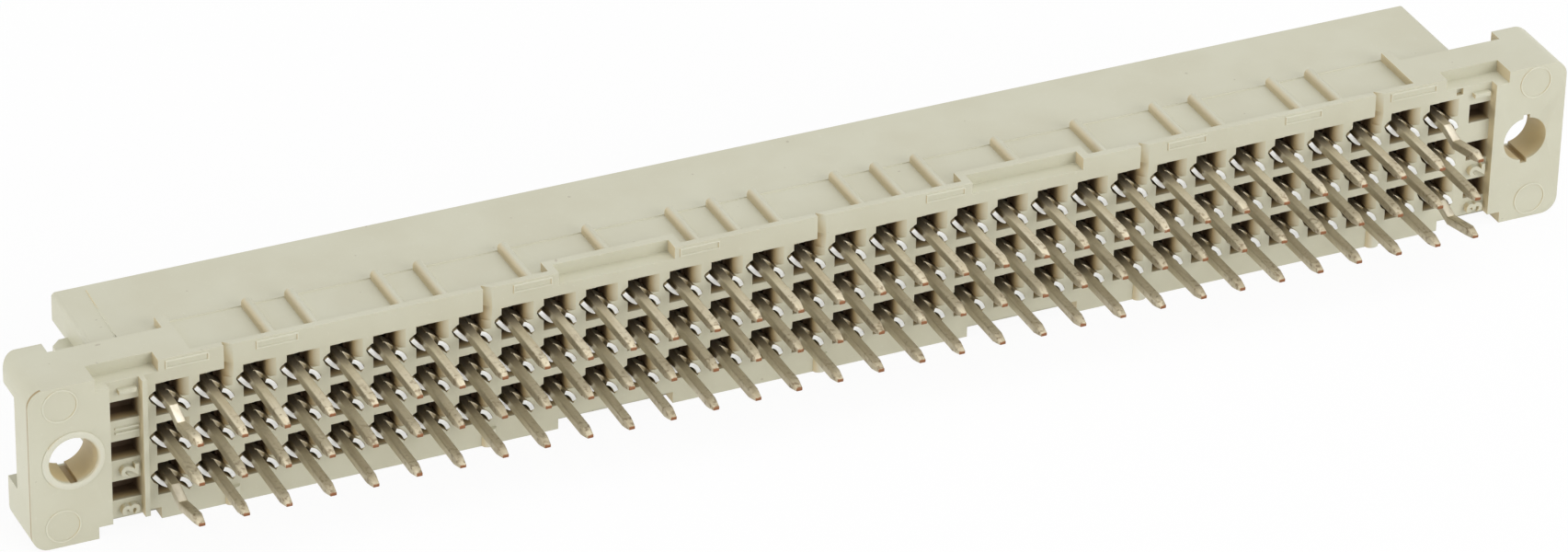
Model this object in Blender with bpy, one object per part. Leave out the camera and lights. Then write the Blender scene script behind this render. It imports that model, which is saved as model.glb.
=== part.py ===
# Female board connector: one moulded housing and stamped contacts in three rows of thirty-two.
# X runs along the rows, +Y is the mating direction and the solder tails point to -Y. Row a is on top.
# Outlines are in millimetres from the middle of the contact grid, on the rear face of the contact block.
import math

import bmesh
import bpy

MM = 0.001
PAST = 1.0  # how far a cutter runs past the face that it opens

# Contact grid
PITCH = 2.54
COLUMNS = 32
ROW_NAMES = ("a", "b", "c")

# Contact block around the grid
BLOCK_DEPTH = 10.3  # rear face to mating face
END_MARGIN = 1.33  # from the last column's axes to the block's end
ROW_MARGIN = 1.91  # from the outer rows' axes to the block's long sides

# Rim, ribs and floor along the block's long sides
RIM_RISE = 0.63
RIM_DEPTH = 0.42
FLOOR_RISE = 0.1
RIB_REACH = 4.3
RIB_WIDTH = 0.62
RIB_ROUND = 0.16
RIB_GAPS = (3, 4, 6, 7, 9, 11, 13, 14, 15, 17, 18, 19, 21, 23, 25, 26, 28, 29)  # the column left of each rib
END_RIB_GAP = 1  # the raised ends start at the rib right of this column

# Flanges
PAD_PROUD = 0.6  # the flange pads stand this far behind the contact block's rear face
PAD_OFFSET = 2.13  # from the block's end to the pad
PAD_LENGTH = 4.67
PLATE_FRONT = 1.6
SHELF_FRONT = 3.1
LUG_FRONT = 4.0
LUG_LENGTH = 2.5
LUG_ROUND = 1.1
CORNER_ROUND = 1.0
CORNER_STEPS = 5
UPPER_LUG_HEIGHT = 1.43
LOWER_LUG_HEIGHT = 2.88
HOLE_INSET = 2.5  # from the flange's end to the axis of its hole
HOLE_RISE = 0.3  # above the axis of row b
HOLE_RADIUS = 1.4
HOLE_STEPS = 12  # on each half
KEY_WIDTH = 0.42
KEY_DEPTH = 0.22

# Guides on the ends of the block
GUIDE_ROOT = 1.0  # how far a guide runs into the block
EAR_LENGTH = 1.65
EAR_HEIGHT = 1.75
POCKET_HOUSE_LENGTH = 2.7
POCKET_HOUSE_REACH = 7.4
POCKET_HOUSE_TOP = 2.95
POCKET_HOUSE_CHAMFER = 0.55

# Notches in the rear edges
NOTCH_HEIGHT = 0.73
NOTCH_DEPTH = 0.95
END_NOTCH_INSET = 0.9  # how far an end notch runs over the block
END_NOTCH_LENGTH = 3.85
MIDDLE_NOTCH_LENGTH = 7.0
MIDDLE_NOTCH_WALL = 0.5  # the rim keeps this thickness round the upper middle notches
MIDDLE_NOTCH_GAPS = (11, 21)

# Three row-mark pockets at each end, beside the pad
LEFT_POCKET_WIDTH = 1.88
RIGHT_POCKET_WIDTH = 1.38
POCKET_HEIGHT = 1.22
POCKET_RISE = -0.11  # centre of a pocket above the axis of its row
POCKET_DEPTH = 1.35

# Thin upright strip between the left pockets and the block
STRIP_OFFSET = 0.25  # from the block's end to the strip's outer face
STRIP_WIDTH = 0.3

# One cavity, measured from the axis of its contact
CAVITY_LEFT = 0.6
CAVITY_RIGHT = 0.67
CAVITY_TOP = 1.07
ROW_WALL = 0.49  # between the cavities of two rows
CAVITY_DEPTH = 9.3
ENTRY_SIDE = 1.1
LEAD_IN_WIDTH = 0.62
LEAD_IN_HEIGHT = 1.0
LEAD_IN_DEPTH = 0.65
LEAD_IN_STEPS = 2
GROOVE_WIDTH = 0.5
GROOVE_DEPTH = 0.45
GROOVE_COLUMNS = (2, 8, 16, 24, 30)
SLOT_DEPTH = 1.2
SLOT_WALL = 0.27  # between the slots of two neighbours
LEFT_SLOT_REACH = 0.95
LEFT_SLOT_TOP = 0.55
RIGHT_SLOT_TOP = 0.16

# One contact
TAIL_SIDE = 0.6
TAIL_LENGTH = 5.2
TIP_LENGTH = 0.55
TIP_SIDE = 0.3
SHEET = 0.27
WING_ANGLE = 43.5
WING_PROUD = 0.1  # the wings stand out of their slots by this much
SLOT_CLEARANCE = 0.05
WING_SEAT = 0.05  # how far a fused contact's wings run into the ends of their slots
BLADE_END = 8.4
BLADE_WIDTH = 0.8
BLADE_THICKNESS = 0.24
KINK_DROP = 0.45
KINK_START = 1.1
KINK_LENGTH = 1.2
KINKED_COLUMNS = (1, 32)
KINKED_ROWS = ("a", "c")
SEPARATE_CONTACTS = 59  # the others are one piece with the housing

HALF_BLOCK = (COLUMNS - 1) / 2 * PITCH + END_MARGIN
BLOCK_TOP = (len(ROW_NAMES) - 1) / 2 * PITCH + ROW_MARGIN
RIM_TOP = BLOCK_TOP + RIM_RISE
PAD_INNER = HALF_BLOCK + PAD_OFFSET
HALF_LENGTH = PAD_INNER + PAD_LENGTH
CAVITY_BOTTOM = PITCH - CAVITY_TOP - ROW_WALL
RIGHT_SLOT_REACH = PITCH - LEFT_SLOT_REACH - SLOT_WALL
MIDDLE_Y = (BLOCK_DEPTH - TAIL_LENGTH) / 2
PLACE = (0.0, -MIDDLE_Y * MM, RIM_TOP * MM)
SIDES = (-1, 1)


def column_x(column):
    """X of a column's contact axis. A half-way value gives the gap between two columns."""
    return (column - (COLUMNS + 1) / 2) * PITCH


def row_z(row):
    return (len(ROW_NAMES) - 1) / 2 * PITCH - ROW_NAMES.index(row) * PITCH


def clear_scene():
    for item in list(bpy.data.objects):
        bpy.data.objects.remove(item)


def material(name, color, roughness, metallic):
    made = bpy.data.materials.new(name)
    made.use_nodes = True
    shader = made.node_tree.nodes["Principled BSDF"]
    shader.inputs["Base Color"].default_value = (*color, 1.0)
    shader.inputs["Roughness"].default_value = roughness
    shader.inputs["Metallic"].default_value = metallic
    return made


def add_object(name, shape):
    """Turns a finished bmesh into an object of the scene."""
    bmesh.ops.recalc_face_normals(shape, faces=shape.faces)
    bmesh.ops.scale(shape, vec=(MM, MM, MM), verts=shape.verts)
    mesh = bpy.data.meshes.new(name)
    shape.to_mesh(mesh)
    shape.free()
    item = bpy.data.objects.new(name, mesh)
    item.location = PLACE
    bpy.context.scene.collection.objects.link(item)
    return item


def helper(name, shape):
    item = add_object(name, shape)
    item.hide_render = True
    item.display_type = "WIRE"
    return item


def loft(shape, rings):
    """Skins rings that have the same number of points, and closes both ends."""
    made = [[shape.verts.new(point) for point in ring] for ring in rings]
    for ring, following in zip(made, made[1:]):
        for index in range(len(ring)):
            after = (index + 1) % len(ring)
            shape.faces.new((ring[index], ring[after], following[after], following[index]))
    shape.faces.new(made[0])
    shape.faces.new(made[-1])


def prism(shape, outline, axis, start, end):
    """Extrudes a flat outline along one axis. The outline holds the other two coordinates in XYZ order."""
    place = {
        "X": lambda point, along: (along, point[0], point[1]),
        "Y": lambda point, along: (point[0], along, point[1]),
        "Z": lambda point, along: (point[0], point[1], along),
    }[axis]
    loft(shape, [[place(point, along) for point in outline] for along in (start, end)])


def rectangle(low_u, low_v, high_u, high_v):
    return [(low_u, low_v), (high_u, low_v), (high_u, high_v), (low_u, high_v)]


def box(shape, low, high):
    prism(shape, rectangle(low[0], low[2], high[0], high[2]), "Y", low[1], high[1])


def arc(centre, radius, start, end, steps):
    """Points on an arc, angles in degrees."""
    angles = [math.radians(start + (end - start) * step / steps) for step in range(steps + 1)]
    return [(centre[0] + radius * math.cos(a), centre[1] + radius * math.sin(a)) for a in angles]


def combine(target, tool, operation):
    modifier = target.modifiers.new(tool.name, "BOOLEAN")
    modifier.operation = operation
    modifier.solver = "EXACT"
    modifier.object = tool


def block_body():
    """The contact block's long section: rim, shallow floor and block above, and a plain foot below."""
    outline = [
        (0, RIM_TOP),
        (RIM_DEPTH, RIM_TOP),
        (RIM_DEPTH, BLOCK_TOP + FLOOR_RISE),
        (RIB_REACH, BLOCK_TOP + FLOOR_RISE),
        (RIB_REACH, BLOCK_TOP),
        (BLOCK_DEPTH, BLOCK_TOP),
        (BLOCK_DEPTH, -BLOCK_TOP),
        (RIB_REACH, -BLOCK_TOP),
        (RIB_REACH, -RIM_TOP),
        (0, -RIM_TOP),
    ]
    shape = bmesh.new()
    prism(shape, outline, "X", -HALF_BLOCK, HALF_BLOCK)
    return add_object("housing", shape)


def ribs():
    """Ribs with eased tops that run from the rim over the floor, each between two columns."""
    shape = bmesh.new()
    half = RIB_WIDTH / 2
    low = BLOCK_TOP - RIB_WIDTH
    for gap in RIB_GAPS:
        middle = column_x(gap + 0.5)
        section = [
            (-half, low),
            (half, low),
            (half, RIM_TOP - RIB_ROUND),
            (half - RIB_ROUND, RIM_TOP),
            (RIB_ROUND - half, RIM_TOP),
            (-half, RIM_TOP - RIB_ROUND),
        ]
        prism(shape, [(middle + x, z) for x, z in section], "Y", RIM_DEPTH / 2, RIB_REACH)
    return helper("ribs", shape)


def flange_sections():
    """Rear outline of both flanges, with round outer corners."""
    inner = -column_x(END_RIB_GAP + 0.5) - RIB_WIDTH / 2
    corner = (HALF_LENGTH - CORNER_ROUND, RIM_TOP - CORNER_ROUND)
    upper = [(inner, RIM_TOP)] + arc(corner, CORNER_ROUND, 90, 0, CORNER_STEPS)
    outline = upper + [(x, -z) for x, z in reversed(upper)]
    shape = bmesh.new()
    for side in SIDES:
        prism(shape, [(side * x, z) for x, z in outline], "Y", -PAD_PROUD - PAST, LUG_FRONT + PAST)
    return helper("flange_sections", shape)


def flange_plans():
    """Plan outline of both flanges: pad, lug with a round front corner, shelf and end rib."""
    inner = -column_x(END_RIB_GAP + 0.5) - RIB_WIDTH / 2
    lug_inner = HALF_LENGTH - LUG_LENGTH
    corner = (HALF_LENGTH - LUG_ROUND, LUG_FRONT - LUG_ROUND)
    outline = [(inner, 0), (PAD_INNER, 0), (PAD_INNER, -PAD_PROUD), (HALF_LENGTH, -PAD_PROUD)]
    outline += arc(corner, LUG_ROUND, 0, 90, CORNER_STEPS)
    outline += [(lug_inner, LUG_FRONT), (lug_inner, SHELF_FRONT)]
    outline += [(inner + RIB_WIDTH, SHELF_FRONT), (inner + RIB_WIDTH, RIB_REACH), (inner, RIB_REACH)]
    shape = bmesh.new()
    for side in SIDES:
        prism(shape, [(side * x, y) for x, y in outline], "Z", -RIM_TOP - PAST, RIM_TOP + PAST)
    return helper("flange_plans", shape)


def lug_gaps():
    """The open space in front of the flange plate, between the upper and the lower lug."""
    shape = bmesh.new()
    low, high = LOWER_LUG_HEIGHT - RIM_TOP, RIM_TOP - UPPER_LUG_HEIGHT
    for side in SIDES:
        near, far = sorted((side * HALF_BLOCK, side * (HALF_LENGTH + PAST)))
        box(shape, (near, PLATE_FRONT, low), (far, LUG_FRONT + PAST, high))
    return helper("lug_gaps", shape)


def flanges():
    made = flange_sections()
    combine(made, flange_plans(), "INTERSECT")
    combine(made, lug_gaps(), "DIFFERENCE")
    return made


def end_guides():
    """The raised ear at the top of each block end."""
    shape = bmesh.new()
    for side in SIDES:
        near, far = sorted((side * (HALF_BLOCK - GUIDE_ROOT), side * (HALF_BLOCK + EAR_LENGTH)))
        box(shape, (near, PLATE_FRONT / 2, BLOCK_TOP - EAR_HEIGHT), (far, BLOCK_DEPTH, BLOCK_TOP))
    return helper("end_guides", shape)


def pocket_houses():
    """The chamfered case around the row-mark pockets at each block end."""
    shape = bmesh.new()
    outer = HALF_BLOCK + POCKET_HOUSE_LENGTH
    outline = [
        (HALF_BLOCK - GUIDE_ROOT, PLATE_FRONT / 2),
        (outer, PLATE_FRONT / 2),
        (outer, POCKET_HOUSE_REACH - POCKET_HOUSE_CHAMFER),
        (outer - POCKET_HOUSE_CHAMFER, POCKET_HOUSE_REACH),
        (HALF_BLOCK - GUIDE_ROOT, POCKET_HOUSE_REACH),
    ]
    for side in SIDES:
        prism(shape, [(side * x, y) for x, y in outline], "Z", -BLOCK_TOP, POCKET_HOUSE_TOP)
    return helper("pocket_houses", shape)


def notch_walls():
    """The rim steps forward behind each upper middle notch."""
    shape = bmesh.new()
    half = MIDDLE_NOTCH_LENGTH / 2 + MIDDLE_NOTCH_WALL
    for gap in MIDDLE_NOTCH_GAPS:
        middle = column_x(gap + 0.5)
        low = (middle - half, RIM_DEPTH / 2, BLOCK_TOP - RIM_RISE)
        box(shape, low, (middle + half, NOTCH_DEPTH + MIDDLE_NOTCH_WALL, RIM_TOP))
    return helper("notch_walls", shape)


def notches():
    """Notches in the upper and lower rear edges: one at each end and two over the middle columns."""
    shape = bmesh.new()
    low = RIM_TOP - NOTCH_HEIGHT
    spans = []
    start = HALF_BLOCK - END_NOTCH_INSET
    for side in SIDES:
        near, far = sorted((side * start, side * (start + END_NOTCH_LENGTH)))
        spans.append((near, far))
    for gap in MIDDLE_NOTCH_GAPS:
        middle = column_x(gap + 0.5)
        spans.append((middle - MIDDLE_NOTCH_LENGTH / 2, middle + MIDDLE_NOTCH_LENGTH / 2))
    for near, far in spans:
        for bottom, top in ((low, RIM_TOP + PAST), (-RIM_TOP - PAST, -low)):
            box(shape, (near, -PAD_PROUD - PAST, bottom), (far, NOTCH_DEPTH, top))
    return helper("notches", shape)


def mark_strip():
    """The strip is level with the pads. The end notches cut it to its height."""
    shape = bmesh.new()
    outer = -HALF_BLOCK - STRIP_OFFSET
    half = RIM_TOP - NOTCH_HEIGHT / 2
    box(shape, (outer, -PAD_PROUD, -half), (outer + STRIP_WIDTH, PLATE_FRONT / 2, half))
    return helper("mark_strip", shape)


def pockets():
    """Blind pockets against each pad: the left ones reach to the strip."""
    shape = bmesh.new()
    for near, far in ((-PAD_INNER, LEFT_POCKET_WIDTH - PAD_INNER), (PAD_INNER - RIGHT_POCKET_WIDTH, PAD_INNER)):
        for row in ROW_NAMES:
            middle = row_z(row) + POCKET_RISE
            low = (near, -PAST, middle - POCKET_HEIGHT / 2)
            high = (far, POCKET_DEPTH, middle + POCKET_HEIGHT / 2)
            box(shape, low, high)
    return helper("pockets", shape)


def mounting_holes():
    """Round holes with a narrow key slot at the top and at the bottom."""
    shape = bmesh.new()
    half = KEY_WIDTH / 2
    edge = math.degrees(math.asin(half / HOLE_RADIUS))
    key = HOLE_RADIUS + KEY_DEPTH
    outline = arc((0, 0), HOLE_RADIUS, edge - 90, 90 - edge, HOLE_STEPS) + [(half, key), (-half, key)]
    outline += arc((0, 0), HOLE_RADIUS, 90 + edge, 270 - edge, HOLE_STEPS) + [(-half, -key), (half, -key)]
    for side in SIDES:
        centre = side * (HALF_LENGTH - HOLE_INSET)
        prism(shape, [(centre + x, HOLE_RISE + z) for x, z in outline], "Y", -PAD_PROUD - PAST, PLATE_FRONT + PAST)
    return helper("mounting_holes", shape)


def contact_names():
    """Every contact as its row and column, row by row from the top."""
    return [(row, column) for row in ROW_NAMES for column in range(1, COLUMNS + 1)]


def cavity_places():
    return [(column_x(column), row_z(row)) for row, column in contact_names()]


def cavities():
    """Each cavity runs from the rear to a small square entry in the mating face."""
    shape = bmesh.new()
    half = ENTRY_SIDE / 2
    wide = rectangle(-CAVITY_LEFT, -CAVITY_BOTTOM, CAVITY_RIGHT, CAVITY_TOP)
    entry = rectangle(-half, -half, half, half)
    stations = ((wide, -PAST), (wide, CAVITY_DEPTH), (entry, CAVITY_DEPTH), (entry, BLOCK_DEPTH + PAST))
    for x, z in cavity_places():
        loft(shape, [[(x + u, y, z + v) for u, v in outline] for outline, y in stations])
    return helper("cavities", shape)


def wing_slots():
    """The slots left and right of each cavity that hold the contact's wings."""
    shape = bmesh.new()
    inside = CAVITY_LEFT / 2
    for x, z in cavity_places():
        low = z - CAVITY_BOTTOM
        box(shape, (x - LEFT_SLOT_REACH, -PAST, low), (x - inside, SLOT_DEPTH, z + LEFT_SLOT_TOP))
        box(shape, (x + inside, -PAST, low), (x + RIGHT_SLOT_REACH, SLOT_DEPTH, z + RIGHT_SLOT_TOP))
    return helper("wing_slots", shape)


def lead_ins():
    """The rounded lead-in right of each cavity: a quarter ellipse from the side wall to the rear face."""
    shape = bmesh.new()
    curve = []
    for step in range(LEAD_IN_STEPS + 1):
        angle = math.radians(90 * step / LEAD_IN_STEPS)
        across = CAVITY_RIGHT + LEAD_IN_WIDTH * (1 - math.sin(angle))
        curve.append((across, LEAD_IN_DEPTH * (1 - math.cos(angle))))
    outline = [(0, -PAST), (curve[0][0], -PAST)] + curve + [(0, LEAD_IN_DEPTH)]
    for x, z in cavity_places():
        low, high = z + CAVITY_TOP - LEAD_IN_HEIGHT, z + CAVITY_TOP
        prism(shape, [(x + u, y) for u, y in outline], "Z", low, high)
    return helper("lead_ins", shape)


def top_grooves():
    """A few of the top row's lead-ins run on through the rim."""
    shape = bmesh.new()
    right = CAVITY_RIGHT + LEAD_IN_WIDTH
    bottom = row_z(ROW_NAMES[0]) + CAVITY_TOP - LEAD_IN_HEIGHT
    outline = [(right - GROOVE_WIDTH, -PAST), (right, -PAST), (right, 0), (right - GROOVE_WIDTH, GROOVE_DEPTH)]
    for column in GROOVE_COLUMNS:
        x = column_x(column)
        prism(shape, [(x + u, y) for u, y in outline], "Z", bottom, RIM_TOP + PAST)
    return helper("top_grooves", shape)


def square(x_side, z_side, y, z=0.0):
    """Corners of a bar's section, from the low left corner round by the low right one."""
    half_x, half_z = x_side / 2, z_side / 2
    return [(-half_x, y, z - half_z), (half_x, y, z - half_z), (half_x, y, z + half_z), (-half_x, y, z + half_z)]


def tail_rings(kinked):
    """Sections of the solder tail from its tapered tip to the wings."""
    rings = [square(TIP_SIDE, TIP_SIDE, -TAIL_LENGTH), square(TAIL_SIDE, TAIL_SIDE, TIP_LENGTH - TAIL_LENGTH)]
    if kinked:
        rings.append(square(TAIL_SIDE, TAIL_SIDE, -KINK_START - KINK_LENGTH, -KINK_DROP))
        rings.append(square(TAIL_SIDE, TAIL_SIDE, -KINK_START))
    return rings


def skin(shape, rings):
    for ring, following in zip(rings, rings[1:]):
        for index in range(4):
            after = (index + 1) % 4
            shape.faces.new((ring[index], ring[after], following[after], following[index]))


def wing_section(shape, y):
    """Points of the root and its slanted wings, which leave its low left and high right corners and end square."""
    half = TAIL_SIDE / 2
    angle = math.radians(WING_ANGLE)
    across, up = SHEET * math.sin(angle), SHEET * math.cos(angle)
    rise = SHEET / math.cos(angle)
    left, right = LEFT_SLOT_REACH - SLOT_CLEARANCE, RIGHT_SLOT_REACH - SLOT_CLEARANCE
    left_low = (left - half) * math.tan(angle) - half
    right_high = half - (right - half) * math.tan(angle)
    outline = {
        "low_left": (-half, -half),
        "low_right": (half, -half),
        "right_root": (half, half - rise),
        "right_low": (right - across, right_high - up),
        "right_high": (right, right_high),
        "high_right": (half, half),
        "high_left": (-half, half),
        "left_root": (-half, rise - half),
        "left_high": (across - left, left_low + up),
        "left_low": (-left, left_low),
    }
    return {name: shape.verts.new((x, y, z)) for name, (x, z) in outline.items()}


def contact_mesh(name, kinked, wing_end):
    """Solder tail, root with two wings, and the spring blade inside the cavity, as one stamped piece."""
    shape = bmesh.new()
    tail = [[shape.verts.new(point) for point in ring] for ring in tail_rings(kinked)]
    skin(shape, tail)
    shape.faces.new(tail[0])
    rear = wing_section(shape, -WING_PROUD)
    front = wing_section(shape, wing_end)
    blade = [shape.verts.new(point) for point in square(BLADE_WIDTH, BLADE_THICKNESS, BLADE_END)]
    shape.faces.new(blade)
    names = list(rear)
    for first, second in zip(names, names[1:] + names[:1]):
        shape.faces.new((rear[first], rear[second], front[second], front[first]))
    sides = (
        ("low_left", "low_right"),
        ("low_right", "right_root", "high_right"),
        ("high_right", "high_left"),
        ("high_left", "left_root", "low_left"),
    )
    for ring, section in ((tail[-1], rear), (blade, front)):
        for index, side in enumerate(sides):
            after = (index + 1) % 4
            shape.faces.new([ring[after], ring[index]] + [section[point] for point in side])
    for section in (rear, front):
        shape.faces.new([section[point] for point in ("low_left", "left_root", "left_high", "left_low")])
        shape.faces.new([section[point] for point in ("high_right", "right_root", "right_low", "right_high")])
    bmesh.ops.recalc_face_normals(shape, faces=shape.faces)
    bmesh.ops.scale(shape, vec=(MM, MM, MM), verts=shape.verts)
    mesh = bpy.data.meshes.new(name)
    shape.to_mesh(mesh)
    shape.free()
    return mesh


def is_kinked(row, column):
    return row in KINKED_ROWS and column in KINKED_COLUMNS


def separate_contacts(metal):
    """The first contacts, as loose pieces that sit in their slots with a small clearance."""
    straight = contact_mesh("contact", False, SLOT_DEPTH - SLOT_CLEARANCE)
    kinked = contact_mesh("kinked_contact", True, SLOT_DEPTH - SLOT_CLEARANCE)
    for mesh in (straight, kinked):
        mesh.materials.append(metal)
    for row, column in contact_names()[:SEPARATE_CONTACTS]:
        mesh = kinked if is_kinked(row, column) else straight
        item = bpy.data.objects.new(f"contact_{row}{column:02d}", mesh)
        item.location = (column_x(column) * MM, PLACE[1], PLACE[2] + row_z(row) * MM)
        bpy.context.scene.collection.objects.link(item)


def fused_contacts():
    """The other contacts as one tool, whose wings run into the ends of their slots."""
    straight = contact_mesh("seated_contact", False, SLOT_DEPTH + WING_SEAT)
    kinked = contact_mesh("seated_kinked_contact", True, SLOT_DEPTH + WING_SEAT)
    shape = bmesh.new()
    for row, column in contact_names()[SEPARATE_CONTACTS:]:
        start = len(shape.verts)
        shape.from_mesh(kinked if is_kinked(row, column) else straight)
        shape.verts.ensure_lookup_table()
        offset = (column_x(column) * MM, 0, row_z(row) * MM)
        bmesh.ops.translate(shape, vec=offset, verts=shape.verts[start:])
    bmesh.ops.scale(shape, vec=(1 / MM, 1 / MM, 1 / MM), verts=shape.verts)
    return helper("fused_contacts", shape)


def housing(plastic):
    made = block_body()
    made.data.materials.append(plastic)
    for tool in (flanges(), end_guides(), pocket_houses(), ribs(), notch_walls(), mark_strip()):
        combine(made, tool, "UNION")
    for tool in (notches(), pockets(), mounting_holes(), cavities(), wing_slots(), lead_ins(), top_grooves()):
        combine(made, tool, "DIFFERENCE")
    combine(made, fused_contacts(), "UNION")


def main():
    clear_scene()
    plastic = material("grey_plastic", (0.58, 0.56, 0.45), 0.5, 0.0)
    metal = material("tinned_metal", (0.42, 0.38, 0.31), 0.35, 0.9)
    housing(plastic)
    separate_contacts(metal)


main()
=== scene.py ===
# Female board connector seen from its solder side: moulded housing, stamped contacts and a plain studio.
# Every outline below is in millimetres. X runs along the rows from the middle of the contact grid, Y starts
# at the block's rear face and points to the mating face, and Z starts at the axis of row b.
import math

import bmesh
import bpy
import numpy as np
from mathutils import Matrix, Vector


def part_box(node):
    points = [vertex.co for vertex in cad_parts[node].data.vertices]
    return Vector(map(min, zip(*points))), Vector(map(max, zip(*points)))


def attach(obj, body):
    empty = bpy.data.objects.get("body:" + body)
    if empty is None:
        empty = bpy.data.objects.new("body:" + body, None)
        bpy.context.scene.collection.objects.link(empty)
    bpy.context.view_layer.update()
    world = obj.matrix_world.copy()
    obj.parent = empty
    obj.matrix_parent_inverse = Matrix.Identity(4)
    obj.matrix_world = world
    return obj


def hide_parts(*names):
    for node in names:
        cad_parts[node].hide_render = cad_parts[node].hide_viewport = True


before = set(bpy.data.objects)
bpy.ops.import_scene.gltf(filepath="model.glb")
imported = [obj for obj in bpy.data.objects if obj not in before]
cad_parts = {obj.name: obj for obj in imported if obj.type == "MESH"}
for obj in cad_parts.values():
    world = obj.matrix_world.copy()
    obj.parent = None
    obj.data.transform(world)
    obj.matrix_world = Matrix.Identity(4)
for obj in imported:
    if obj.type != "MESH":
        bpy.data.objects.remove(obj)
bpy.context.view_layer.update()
housingLow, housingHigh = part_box("housing")

millimetre = 0.001
pitch = 2.54
columns = 32
rowHeights = {"a": pitch, "b": 0.0, "c": -pitch}
blockDepth = 10.3
# The CAD stands on z = 0 with its mating face at the highest y, so the grid's origin follows from its box
gridOrigin = Vector((0.0, housingHigh[1] - blockDepth * millimetre, (housingLow[2] + housingHigh[2]) / 2))
# Tools reach past the faces that they cut: one millimetre past a face, or as far as these planes
past = {"face": 1.0, "rear": -2.0, "front": 6.0, "height": 7.0}
# How near counts as the same depth, plane, point and rectangle, and which product of two directions counts
# as opposite
near = {"depth": 1e-4, "plane": 1e-3, "point": 2e-3, "inside": 0.01, "opposite": -0.99}


def columnX(column):
    return (column - (columns + 1) / 2) * pitch


# Shells. Each one is its points, the corners of all its faces in one row, and each face's number of corners

def loft(rings, closed=False):
    # Point j of ring i is joined to point j + 1 and to the same two points of ring i + 1
    levels, count = rings.shape[:2]
    low = np.arange(levels if closed else levels - 1)[:, None] * count
    high = (low + count) % (levels * count)
    here = np.arange(count)[None, :]
    after = (here + 1) % count
    corners = np.stack([low + here, low + after, high + after, high + here], axis=-1).ravel()
    sizes = np.full(len(corners) // 4, 4)
    if not closed:
        first = np.arange(count)
        corners = np.concatenate([corners, first, first + (levels - 1) * count])
        sizes = np.append(sizes, (count, count))
    return rings.reshape(-1, 3), corners, sizes


def prism(outline, axis, start, end):
    # The flat outline stands at start and at end of the axis
    flat = np.array(outline, dtype=float)
    first, second, along = {"X": (1, 2, 0), "Y": (0, 2, 1), "Z": (0, 1, 2)}[axis]
    rings = np.zeros((2, len(flat), 3))
    rings[:, :, first] = flat[:, 0]
    rings[:, :, second] = flat[:, 1]
    rings[:, :, along] = np.array([[start], [end]])
    return loft(rings)


def rectangle(low, high):
    return np.array([(low[0], low[1]), (high[0], low[1]), (high[0], high[1]), (low[0], high[1])])


def box(low, high):
    return prism(rectangle((low[0], low[2]), (high[0], high[2])), "Y", low[1], high[1])


def mirrored(shells):
    return [(points * (-1, 1, 1), corners, sizes) for points, corners, sizes in shells]


def arc(centre, radius, startDegrees, endDegrees, steps):
    # centre + radius (cos t, sin t)
    angles = np.radians(np.linspace(startDegrees, endDegrees, steps + 1))
    return np.array(centre) + radius * np.stack([np.cos(angles), np.sin(angles)], axis=1)


def circle(centre, radius, count=60):
    return arc(centre, radius, 0, 360 - 360 / count, count - 1)


def atDepth(flat, y):
    # The flat outline as a ring at one depth
    return np.stack([flat[:, 0], np.full(len(flat), y), flat[:, 1]], axis=1)


def raisedLoop(outer, inner, face, rise, sunk=0.05, edge=0.2):
    # A low ring between two outlines on a face towards -Y. Its crown is a fifth of the width in from both
    profile = ((0, sunk), (0, -rise / 2), (edge, -rise), (1 - edge, -rise), (1, -rise / 2), (1, sunk))
    rings = [atDepth(outer + share * (inner - outer), face + y) for share, y in profile]
    return loft(np.array(rings), closed=True)


def joined(shells):
    points, corners, sizes = zip(*shells)
    starts = np.cumsum([0] + [len(own) for own in points[:-1]])
    shifted = [own + start for own, start in zip(corners, starts)]
    return np.concatenate(points), np.concatenate(shifted), np.concatenate(sizes)


def meshFrom(name, shells):
    points, corners, sizes = joined(shells)
    mesh = bpy.data.meshes.new(name)
    mesh.vertices.add(len(points))
    mesh.vertices.foreach_set("co", points.ravel())
    mesh.loops.add(len(corners))
    mesh.loops.foreach_set("vertex_index", corners.astype(np.int32))
    mesh.polygons.add(len(sizes))
    mesh.polygons.foreach_set("loop_start", (np.cumsum(sizes) - sizes).astype(np.int32))
    mesh.update(calc_edges=True)
    work = bmesh.new()
    work.from_mesh(mesh)
    bmesh.ops.recalc_face_normals(work, faces=work.faces)
    work.to_mesh(mesh)
    work.free()
    return mesh


def shellOf(mesh):
    points = np.empty(len(mesh.vertices) * 3)
    corners = np.empty(len(mesh.loops), dtype=np.int32)
    sizes = np.empty(len(mesh.polygons), dtype=np.int32)
    mesh.vertices.foreach_get("co", points)
    mesh.loops.foreach_get("vertex_index", corners)
    mesh.polygons.foreach_get("loop_total", sizes)
    return points.reshape(-1, 3), corners, sizes


def solid(name, shells):
    item = bpy.data.objects.new(name, meshFrom(name, shells))
    bpy.context.scene.collection.objects.link(item)
    return item


def addTool(target, tools, name, shells, operation):
    # One more solid that is added to the target, cut out of it or met with it
    tool = solid(name, shells)
    modifier = target.modifiers.new(name, "BOOLEAN")
    modifier.operation = operation
    modifier.solver = "EXACT"
    modifier.object = tool
    tools.append(tool)
    return tool


def finished(target, tools):
    # The mesh that all modifiers give, with the tools and the carrier taken out of the scene
    graph = bpy.context.evaluated_depsgraph_get()
    mesh = bpy.data.meshes.new_from_object(target.evaluated_get(graph), depsgraph=graph)
    for item in [target, *tools]:
        bpy.data.objects.remove(item)
    return mesh


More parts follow.
